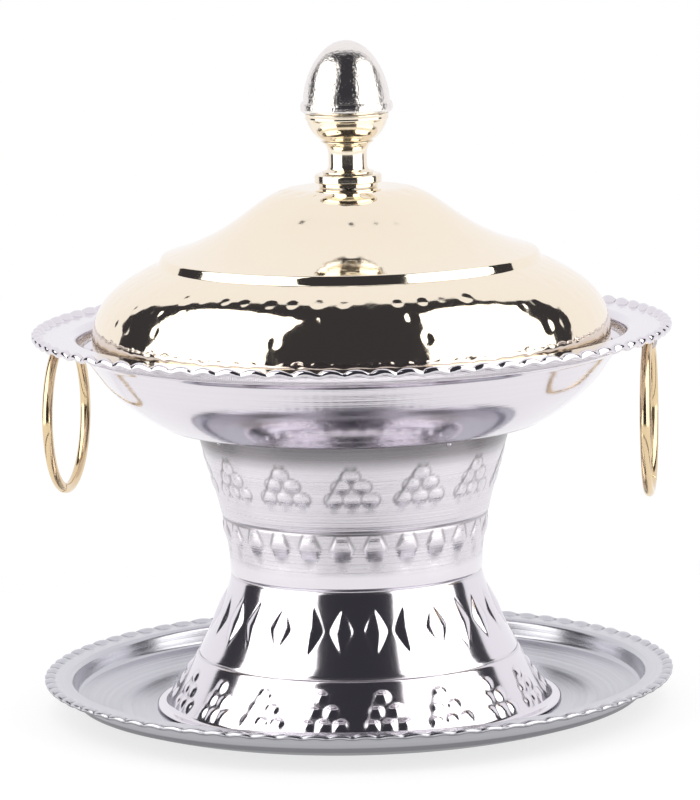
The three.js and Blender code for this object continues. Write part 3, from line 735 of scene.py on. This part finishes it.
# Bunches of grapes: the heights of a bunch's rows, the distance between the bosses of each row,
# half the width and height of a boss, and how far the bunch leans from row to row
LOWER_BUNCH = {"rows": (0.0052, 0.0101, 0.0152), "pitches": (0.0068, 0.0075, 0), "boss": (0.0035, 0.0026),
               "lean": 0.0018}
UPPER_BUNCH = {"rows": (0.0930, 0.0984, 0.1028), "pitches": (0.0074, 0.0085, 0), "boss": (0.0039, 0.0031),
               "lean": 0.0004}


def bell(value, width):
    """1 in the middle, falling evenly to both sides: e to minus the square of value over width."""
    return np.exp(-((value / width) ** 2))


def grapes(x, z, relief, rows, pitches, boss, lean):
    """Bosses in rows of three, two and one: each a dome, one less the squared distance from its
    middle. A crease runs down the bunch's left side and fades to the right. Painted shade lies
    where the domes end and along the crease. Returns height and painted shade."""
    half_wide, half_high = boss
    far_off = -9.0
    dome = np.full_like(x, far_off)
    for row, (number, middle, pitch) in enumerate(zip((3, 2, 1), rows, pitches)):
        for k in range(number):
            centre = (k - (number - 1) / 2) * pitch - lean * row / 2
            far = ((x - centre) / half_wide) ** 2 + ((z - middle) / half_high) ** 2
            dome = np.maximum(dome, 1 - far)
    low, high = rows[0] - 0.002, rows[2] + 0.002
    share_up = (z - low) / (high - low)
    from_edge = x - (-1.5 * pitches[0] + share_up * (1.1 * pitches[0] - lean))
    window = smooth(0, 0.2, share_up) * (1 - smooth(0.85, 1.1, share_up))
    crease = window * smooth(0, 0.0009, from_edge) * np.exp(-np.clip(from_edge, 0, 1) / 0.004)
    # Painted shade round the domes and along the crease
    stain = 0.75 * bell(np.clip(dome, far_off, 1), 0.24) + window * bell(from_edge, 0.0006)
    return relief * np.maximum(np.clip(dome, 0, 1), 0.5 * crease), stain


def pressed_drops(x, down, relief):
    """Pointed arches that bulge out between crisp sides, fade lower down and end in a dimple.
    Painted shade follows the sides near the top and fills the dimple. Returns height and shade."""
    half = np.interp(down, (0, 0.0057, 0.009, 0.013), (0.0023, 0.00475, 0.0040, 0.0030))
    side = smooth(0, 0.0009, half - np.abs(x))
    face = smooth(0, 0.0040, down) * (1 - smooth(0.0055, 0.0112, down))
    dimple = bell(x, 0.0022) * bell(down - 0.0121, 0.0022) * (down > 0)
    bulge = side * face * (0.6 + 0.4 * np.clip(1 - (x / half) ** 2, 0, 1))
    beside_arch = bell(np.abs(x) - half - 0.0001, 0.0006) * (1 - smooth(0.0035, 0.0075, down))
    return relief * (bulge - 0.35 * dimple), (down > 0) * 0.9 * beside_arch + 0.35 * dimple


def pressed_lozenges(x, up, relief):
    """Pillows with pointed ends: across each the height falls with the square of the distance
    from its middle, and a fine crease with painted shade in it runs round it. Returns height and
    painted shade."""
    half_wide, half_long = 0.0049, 0.00885
    reach = np.clip(1 - np.abs(up) / half_long, 0, 1)
    half = half_wide * reach**0.9 * (1 + 0.25 * reach * (1 - reach)) + 1e-6
    pillow = np.clip(1 - (x / half) ** 2, 0, 1) * half / half_wide
    crease = bell(np.abs(x) - half - 0.0003, 0.0005) * smooth(0, 0.12, reach)
    return relief * (pillow - 0.10 * crease), 0.3 * crease


class DATEBOWL_OT_foot(Operator):
    """Flaring foot with grooves and four bands of embossed grapes, drops and lozenges"""

    bl_idname = "datebowl.foot"
    bl_label = "Foot"

    def execute(self, context):
        s = settings()
        f, e, sheet = s.foot, s.emboss, s.sheet.steel
        edge, hem_rise, hair = sheet / 2, 0.0016, 0.0001
        waist = (f.waist_radius, f.waist_height)
        flare = sweep((f.base_radius, sheet + hem_rise), waist, [(0.249, 0.127), (1, 0.866)], 150)
        rise = sweep(waist, (f.top_radius, f.height - sheet), [(0, 0.339), (0.725, 0.772)], 150)
        wall = np.vstack([flare, rise[1:]])
        grooves = (f.lower_groove, f.waist_height, f.upper_groove)
        bands = ((0.003, f.lower_groove), (0.030, 0.049), (f.upper_groove - 0.017, f.upper_groove),
                 (0.090, 0.106))
        weight = np.ones(len(wall))
        for low, high in bands:
            weight += 3 * ((wall[:, 1] > low) & (wall[:, 1] < high))
        for level in grooves:
            weight += 7 * bell(wall[:, 1] - level, 0.0009)
        wall = graded(wall, weight, s.sheet.foot_rows)
        hem_edge = f.base_radius + f.hem
        hem = rounded(
            [(hem_edge - edge, hair), (hem_edge, edge), (hem_edge - edge, sheet),
             (f.base_radius + hem_rise / 2, sheet), wall[2]],
            [0.0003, 0.0006, 0.0012],
        )
        landing = f.top_radius - f.landing
        fold = rounded([wall[-2], (f.top_radius, f.height), (landing, f.height)], [0.0009])
        outside = np.vstack([hem[:-1], wall[2:-2], fold])
        # The inside needs only every few rows
        coarse = np.vstack([hem[4:-1:3], wall[6:-6:14], fold[2:-1]])
        inside = beside(coarse, sheet)[::-1]
        base_in = f.base_radius + hem_rise / 2 - sheet
        line = np.vstack([outside, [(landing, f.height - sheet)], inside[2:], [(base_in, hair)]])
        angles = full_circle(s.sheet.foot_columns)
        z = np.repeat(line[:, 1:], len(angles), axis=1)

        def spaced(number, first):
            return across(angles, line[:, 0], number, first)

        motifs = (
            grapes(spaced(e.lower_grapes, e.lower_grapes_turn), z, e.grape_relief, **LOWER_BUNCH),
            grapes(spaced(e.upper_grapes, e.upper_grapes_turn), z, e.upper_relief, **UPPER_BUNCH),
            pressed_drops(spaced(e.drops, e.drops_turn), f.upper_groove - 0.0007 - z, e.drop_relief),
            pressed_lozenges(spaced(e.lozenges, e.lozenges_turn), z - e.lozenge_height, e.lozenge_relief),
        )
        groove = sum(bell(z - level, 0.00045) for level in grooves)
        press = sum(height for height, stain in motifs) - f.groove_depth * groove
        # Painted shade in the creases, the grooves and round the motifs, passed to the material as a point
        # attribute
        stain = sum(stain for height, stain in motifs) + 0.8 * groove
        # The fold and the inside stay plain
        plain_from = len(outside) - 6
        press[plain_from:] = stain[plain_from:] = 0
        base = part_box("foot")[0][2]
        line[:, 1] += base
        piece = turned("foot_skin", line, len(angles), press, closed=True)
        mark = piece.data.attributes.new("stain", "FLOAT", "POINT")
        mark.data.foreach_set("value", np.clip(stain, 0, 1).ravel())
        finish = foot_finish("foot steel", s.colours.steel, base + f.waist_height + f.satin_rise,
                             base + f.height - f.under_bowl_shade)
        settle(piece, "stand", finish, "polished_steel", "foot")
        return {"FINISHED"}


def hammered(line, angles, first, last, width, depth, pitch):
    """Hammer marks in staggered rows along the line: each a shallow round dish of its own depth,
    moved a little from its place by a fixed set of random numbers."""
    chance = np.random.default_rng(7)
    row_pitch, edge_power = pitch * 0.86, 1.3
    run = along(line)
    dents = np.zeros((len(line), len(angles)))
    rows = int((last - first) / row_pitch)
    for row in range(rows + 1):
        middle = first + (last - first) * row / max(rows, 1)
        here = np.interp(middle, run, line[:, 0])
        number = max(6, int(round(FULL_TURN * here / pitch)))
        jitter = chance.uniform(-0.13, 0.13, (2, number))
        size = chance.uniform(0.75, 1.1, number)
        sink = depth * chance.uniform(0.35, 1.25, number)
        turns = angles * number / FULL_TURN + 0.5 * (row % 2)
        cell = np.floor(turns).astype(int) % number
        x = (turns - np.floor(turns) - 0.5 - jitter[0][cell]) * FULL_TURN * here / number
        y = run[:, None] - middle - jitter[1][cell] * pitch * 0.6
        far = (x**2 + y**2) / (width / 2 * size[cell]) ** 2
        dents = np.minimum(dents, -sink[cell] * np.clip(1 - far, 0, 1) ** edge_power)
    return dents


class DATEBOWL_OT_lid(Operator):
    """Domed lid with a step between its shoulder and its cone, hammered all over"""

    bl_idname = "datebowl.lid"
    bl_label = "Lid"

    def execute(self, context):
        s = settings()
        d, sheet, bore = s.lid, s.sheet.brass, s.knob.bore
        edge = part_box("lid_shell")[0][2]
        shoulder = edge + d.skirt
        step = shoulder + d.shoulder
        cone = step + d.step_rise
        top = cone + d.cone
        cone_radius = d.step_radius - d.step_run
        curve = sweep((d.radius, shoulder), (d.step_radius, step), [(0, 0.5), (0.42, 0.76)], 44)
        slope = sweep((cone_radius, cone), (d.crown_radius, top), [(0.632, 0.37), (0.658, 1)], 52)
        corner = rounded([curve[-2], (d.step_radius, step), (cone_radius, cone), slope[1]], [0.0011, 0.0013])
        edge_radius, eased, skirt_top = d.radius - d.draw, 0.0004, (d.radius, edge + 0.007)
        outside = np.vstack([
            [(edge_radius, edge), (edge_radius + eased, edge + eased), skirt_top],
            even(curve, 0.0013)[:-2], corner[:-1], even(slope, 0.0013)[1:],
        ])
        outside = np.vstack([dense(outside, 0.0014), [((d.crown_radius + bore) / 2, top), (bore, top)]])
        # The inside needs only every few rows
        coarse = np.vstack([
            [(edge_radius + eased, edge + 0.0006), skirt_top], curve[::6], corner[4:-3:4], slope[7::6],
        ])
        line = np.vstack([outside, [(bore, top - sheet)], beside(coarse, sheet)[::-1]])
        angles = full_circle(s.sheet.lid_columns)
        run = along(outside)
        corner_at = run[np.argmin(np.abs(outside[:, 1] - (step + cone) / 2))]
        ring_at = np.interp(-d.crown_ring, -outside[:, 0], run)
        collar_at = ring_at + 0.9 * d.dimple_pitch
        dents = np.zeros((len(line), len(angles)))
        for first, last, depth in (
            (0.004, corner_at - 0.0055, d.dimple_depth),
            (corner_at + 0.007, ring_at - d.dimple_pitch, d.cone_depth),
            (ring_at, ring_at, d.crown_depth),
            (collar_at, collar_at, d.cone_depth),
        ):
            marks = hammered(outside, angles, first, last, d.dimple_width, depth, d.dimple_pitch)
            dents[:len(outside)] += marks
        piece = turned("lid_skin", line, len(angles), dents, closed=True)
        finish = brass_finish("lid brass", s.colours.lid, 0.985, 0.035, 0.00012)
        settle(piece, "lid", finish, "lid_brass", "lid_shell")
        return {"FINISHED"}


def knob_piece(name, corners, radii, finish, node):
    """A turned piece of the knob from the corners of its section and the rounding of each."""
    closed = corners[0][0] > 0
    if closed:
        line = rounded([corners[-1], *corners, corners[0]], radii, 5)[1:-1]
    else:
        line = rounded(corners, radii, 5)
    piece = turned(name, dense(line, 0.0008), 96, closed=closed)
    settle(piece, "lid", finish, "knob_brass", node)


def low_and_high(node):
    """Heights of a solid's lowest and highest points."""
    low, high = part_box(node)
    return low[2], high[2]


class DATEBOWL_OT_knob(Operator):
    """Knob: a stepped collar, a spool, a cup and the egg-shaped cap with its rounded band"""

    bl_idname = "datebowl.knob"
    bl_label = "Knob"

    def execute(self, context):
        s = settings()
        k, sheet = s.knob, s.sheet.brass
        gold = brass_finish("knob brass", s.colours.knob, 0.96, 0.09, 0.00005)
        silver = cap_finish("cap brass", s.colours.cap, 0.06)

        low, high = low_and_high("knob_collar")
        disc = low + k.collar_step
        knob_piece(
            "collar_skin",
            [(k.bore, low), (k.collar_foot, low), (k.collar_foot, disc), (k.collar_radius, disc),
             (k.collar_radius, high), (k.bore, high)],
            [0.0003, 0.0004, 0.0003, 0.0008, 0.0012, 0.0003],
            gold, "knob_collar",
        )

        low, high = low_and_high("knob_stem")
        top = high - k.tenon
        bore_top = low + k.bore_depth
        flare = sweep((k.spool_foot + 0.0002, low + 0.0006), (k.spool_waist, low + 0.0039),
                      [(1, 0.2), (1, 0.6)], 10)
        flange = sweep((k.spool_waist, low + 0.0078), (k.spool_head + 0.0001, top - 0.0002),
                       [(0, 0.5), (0.5, 0.85)], 10)
        knob_piece(
            "stem_skin",
            [(0, bore_top), (k.bore, bore_top), (k.bore, low), (k.spool_foot, low), *flare, *flange,
             (k.spool_head, top), (k.tenon_radius, top), (k.tenon_radius, high), (0, high)],
            [0.0003, 0.0003, 0.0003] + [0] * (len(flare) + len(flange)) + [0.0004, 0.0003, 0.0004],
            gold, "knob_stem",
        )

        low, high = low_and_high("knob_cup")
        pulls, eased = [(0.75, 0.3), (0.844, 0.7)], 0.0004
        outer = sweep((k.cup_foot, low + eased), (k.cup_radius, high), pulls, 24)
        outer[:, 0] += 0.0004 * bell(outer[:, 1] - (high - k.cup_bead), 0.0004)
        inner = beside(sweep((k.cup_foot, low), (k.cup_radius, high), pulls, 8), sheet)[::-1]
        inner[0][1] = high
        hole = k.tenon_radius + k.fit
        knob_piece(
            "cup_skin",
            [(hole, low), (k.cup_foot - eased, low), *outer, *inner, (hole, low + sheet)],
            [0, 0.0003] + [0] * (len(outer) + len(inner) + 1),
            gold, "knob_cup",
        )

        low, high = low_and_high("knob_cap")
        band = low + k.band
        pulls, edge, rolled = [(0, 0.4), (0.4, 1)], k.band_radius - 0.0007, 0.0011
        egg = sweep((k.egg_radius, band), (0, high), pulls, 60)
        inside = k.egg_radius - sheet
        hollow = sweep((inside, band), (0, high - sheet), pulls, 16)[::-1]
        knob_piece(
            "cap_skin",
            [*hollow, (inside, low), (edge, low), (k.band_radius, low + rolled),
             (k.band_radius, band - rolled), (edge, band), (k.egg_radius, band + 0.0001), *egg[2:]],
            [0] * (len(hollow) - 1) + [0.0003, 0.0005, 0.0009, 0.0009, 0.0005, 0.0002] + [0] * (len(egg) - 3),
            silver, "knob_cap",
        )
        return {"FINISHED"}


class DATEBOWL_OT_fastening(Operator):
    """Better metal for the screw and washer that hold the knob from inside the lid"""

    bl_idname = "datebowl.fastening"
    bl_label = "Screw and washer"

    def execute(self, context):
        finish = steel_finish("screw steel", settings().colours.screw, 0.22, 1.5, 2500.0)
        for node in ("screw_washer", "knob_screw"):
            dress(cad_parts[node], finish)
        return {"FINISHED"}


def in_handle_frame(points, handle, polar):
    """Points given out from the bowl, along the rim and up from the hinge, put in their place."""
    cosine, sine = math.cos(polar), math.sin(polar)
    out, side, up = points[..., 0], points[..., 1], points[..., 2]
    reach = handle.hinge_radius + out
    return np.stack([reach * cosine - side * sine, reach * sine + side * cosine, handle.hinge_height + up],
                    axis=-1)


def ring_points(handle, steps, columns):
    """The ring: a circle of wire hung from the hinge, broken at its seam by a hair's width. The
    wire's ends are rounded over, as cut wire is when it is polished."""
    wire = handle.wire / 2
    big = handle.ring_diameter / 2 - wire
    half_gap, worn = 0.0002 / big, 0.0006 / big
    start = handle.seam_turn - math.pi / 2 + half_gap
    end = start + FULL_TURN - 2 * half_gap
    outward = np.array([0, 0.35, 0.65, 0.85, 0.96])
    back = worn * (1 - np.sqrt(1 - outward**2))
    thick = wire * (0.72 + 0.28 * outward)
    angle = np.concatenate([[start], start + back, np.linspace(start + worn, end - worn, steps),
                            end - back[::-1], [end]])[:, None]
    radius = np.concatenate([[0], thick, np.full(steps, wire), thick[::-1], [0]])[:, None]
    turns = full_circle(columns)
    reach = big + radius * np.cos(turns)
    return np.stack([radius * np.sin(turns), reach * np.cos(angle), reach * np.sin(angle) - big], axis=-1)


class DATEBOWL_OT_handles(Operator):
    """Drop rings of brass wire, hanging from strap lugs under the flange"""

    bl_idname = "datebowl.handles"
    bl_label = "Rings and lugs"

    def execute(self, context):
        s = settings()
        h = s.handle
        brass = brass_finish("ring brass", s.colours.ring, 0.93, 0.09, 0.00004)
        steel = steel_finish("lug steel", s.colours.steel, 0.12, 0.6)
        for side, polar in (("left", h.left_turn), ("right", h.right_turn)):
            ring = grid_mesh(side + "_ring_skin", in_handle_frame(ring_points(h, 220, 28), h, polar))
            settle(ring, side + "_ring", brass, "ring_brass", side + "_ring")
            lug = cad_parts[side + "_lug"]
            dress(lug, steel)
            ease = lug.modifiers.new("Eased edges", "BEVEL")
            ease.width, ease.segments, ease.limit_method = 0.0002, 2, "ANGLE"
        return {"FINISHED"}


class DATEBOWL_OT_beads(Operator):
    """Beads of solder in the corner under the bowl"""

    bl_idname = "datebowl.beads"
    bl_label = "Solder beads"

    def execute(self, context):
        finish = steel_finish("solder", [part * 0.9 for part in settings().colours.steel], 0.25, 0.5)
        polar = np.linspace(0, math.pi, 15)[:, None]
        around = full_circle(24)
        for k in range(1, 5):
            node = "solder_bead_%d" % k
            low, high = (np.array(corner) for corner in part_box(node))
            centre, half = (low + high) / 2, (high - low).min() / 2
            lump = half * (0.94 + 0.05 * np.sin(3 * around + k) * np.sin(2 * polar) * np.sin(polar))
            points = about_axis(lump * np.sin(polar), around, -lump * np.cos(polar)) + centre
            points[0], points[-1] = points[0, 0], points[-1, 0]
            settle(grid_mesh("bead_skin_%d" % k, points), "stand", finish, "satin_steel", node)
        return {"FINISHED"}


# Outlines of the light panels over the table, in metres from the axis. The object stands in a
# low tent: bright panels to the left and right, a paler one at the back, dark gaps between.
# A wall of light hangs from each panel's outer edge.
LEFT_PANEL = [(-0.065, -0.095), (-0.102, -0.160), (-0.22, -0.34), (-0.43, -0.59), (-0.72, -0.98),
              (-1.0, -1.38), (-1.0, 0.11), (-0.75, 0.08), (-0.45, 0.09), (-0.30, 0.10), (-0.19, 0.07),
              (-0.14, 0.02), (-0.10, -0.035)]
RIGHT_PANEL = [(0.085, -0.068), (0.13, -0.17), (0.16, -0.25), (0.22, -0.32), (0.27, -0.43), (0.36, -0.57),
               (0.55, -0.87), (1.0, -1.55), (1.0, 0.11), (0.80, 0.06), (0.50, 0.05), (0.315, 0.045),
               (0.235, 0.077), (0.172, 0.044), (0.11, -0.011)]
BACK_PANEL = [(-0.90, 0.50), (-0.727, 0.50), (-0.364, 0.294), (-0.271, 0.206), (-0.204, 0.133),
              (-0.132, 0.065), (-0.080, 0.016), (-0.030, -0.013), (0.0, -0.014), (0.0415, -0.006),
              (0.080, 0.013), (0.119, 0.049), (0.195, 0.081), (0.248, 0.142), (0.350, 0.194),
              (0.718, 0.293), (1.30, 0.50)]
WHITE = (1, 1, 1)
WARM_WHITE = (1.0, 0.99, 0.98)
COOL_WHITE = (0.98, 0.97, 1.0)
DARK_ROOM = (0.040, 0.039, 0.047)


def card(name, corners, rgb, glow):
    """A flat glowing card that shows only in reflections and as light."""
    mesh = bpy.data.meshes.new(name)
    mesh.from_pydata(corners, [], [list(range(len(corners)))])
    piece = bpy.data.objects.new(name, mesh)
    bpy.context.scene.collection.objects.link(piece)
    finish = Finish(name)
    finish.show("ShaderNodeEmission", {"Color": (*rgb, 1), "Strength": glow})
    dress(piece, finish.material)
    piece.visible_camera = False
    piece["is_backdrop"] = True


def tent_side(name, panel, ends, rgb, glow):
    """A panel at the ceiling and the wall that hangs from its edge between the two ends."""
    stage = settings().stage
    (x0, y0), (x1, y1) = ends
    card(name + " panel", [(x, y, stage.ceiling) for x, y in panel], rgb, glow)
    card(name + " wall", [(x0, y0, stage.sunk), (x1, y1, stage.sunk), (x1, y1, stage.ceiling),
                          (x0, y0, stage.ceiling)], rgb, glow)


def floor(name, inner, outer, glow):
    """A flat round of table that glows a little, so that it stays pale under the tent."""
    radii = [inner, outer] if inner > 0 else [0.0, outer / 2, outer]
    piece = grid_mesh(name, about_axis(np.array(radii)[::-1, None], full_circle(128), 0.0))
    finish = Finish(name)
    grey = [part * (1.05 - glow) for part in settings().colours.floor]
    finish.show("ShaderNodeBsdfPrincipled", {
        "Base Color": (*grey, 1), "Roughness": 0.6, "Specular IOR Level": 0,
        "Emission Color": (*WHITE, 1), "Emission Strength": glow,
    })
    dress(piece, finish.material)
    piece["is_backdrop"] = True


def room():
    """Dark in reflections and as light, white where the camera sees past the table."""
    world = bpy.data.worlds.new("studio")
    bpy.context.scene.world = world
    world.use_nodes = True
    nodes = Nodes(world.node_tree, "ShaderNodeOutputWorld")
    dark, pale = (nodes.node("ShaderNodeBackground", None, {"Color": (*rgb, 1)}).outputs[0]
                  for rgb in (DARK_ROOM, WHITE))
    seen = nodes.node("ShaderNodeLightPath").outputs["Is Camera Ray"]
    nodes.show("ShaderNodeMixShader", {"Fac": seen, 1: dark, 2: pale})


class DATEBOWL_OT_stage(Operator):
    """White table, light panels over and round the bowl, and the camera"""

    bl_idname = "datebowl.stage"
    bl_label = "Stage"

    def execute(self, context):
        st = settings().stage
        tent_side("left", LEFT_PANEL, LEFT_PANEL[5:7], WARM_WHITE, st.side_light)
        tent_side("right", RIGHT_PANEL, RIGHT_PANEL[7:9], WARM_WHITE, st.side_light)
        tent_side("back", BACK_PANEL, (BACK_PANEL[0], BACK_PANEL[-1]), COOL_WHITE, st.back_light)
        floor("floor near", 0, st.near_radius, st.near_floor)
        floor("floor far", st.far_inner, st.far_radius, st.far_floor)
        room()
        lens = bpy.data.cameras.new("camera")
        lens.sensor_fit, lens.sensor_height, lens.lens, lens.clip_end = "VERTICAL", 36, st.lens, 50
        camera = bpy.data.objects.new("camera", lens)
        context.scene.collection.objects.link(camera)
        place = Matrix.Translation((st.camera_side, -st.camera_back, st.camera_height))
        tilt = Matrix.Rotation(math.pi / 2 - st.camera_tilt, 4, "X")
        camera.matrix_world = place @ tilt @ Matrix.Rotation(-st.camera_lean, 4, "Z")
        context.scene.camera = camera
        context.scene.view_settings.view_transform = "Standard"
        return {"FINISHED"}


class DATEBOWL_PT_panel(Panel):
    """Lists the bowl's pieces and sizes"""

    bl_label = "Date bowl"
    bl_idname = "DATEBOWL_PT_panel"
    bl_space_type = "VIEW_3D"
    bl_region_type = "UI"
    bl_category = "Date bowl"

    def draw(self, context):
        for operator in OPERATORS:
            self.layout.operator(operator.bl_idname)
        for name, group in GROUPS.items():
            box = self.layout.box()
            box.label(text=name.capitalize())
            for key in group.__annotations__:
                box.prop(getattr(settings(), name), key)


OPERATORS = (
    DATEBOWL_OT_stage,
    DATEBOWL_OT_tray,
    DATEBOWL_OT_foot,
    DATEBOWL_OT_bowl,
    DATEBOWL_OT_beads,
    DATEBOWL_OT_handles,
    DATEBOWL_OT_lid,
    DATEBOWL_OT_knob,
    DATEBOWL_OT_fastening,
)
CLASSES = (*GROUPS.values(), DATEBOWL_PG_all, *OPERATORS, DATEBOWL_PT_panel)


def register():
    for cls in CLASSES:
        bpy.utils.register_class(cls)
    bpy.types.Scene.date_bowl = PointerProperty(type=DATEBOWL_PG_all)


def unregister():
    del bpy.types.Scene.date_bowl
    for cls in reversed(CLASSES):
        bpy.utils.unregister_class(cls)


def main():
    register()
    for operator in OPERATORS:
        group, name = operator.bl_idname.split(".")
        getattr(getattr(bpy.ops, group), name)()
    sizes = {"frame": frame_box, "model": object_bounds()}
    sizes = {key: [[float(v) for v in corner] for corner in box] for key, box in sizes.items()}


if __name__ == "__main__":
    main()
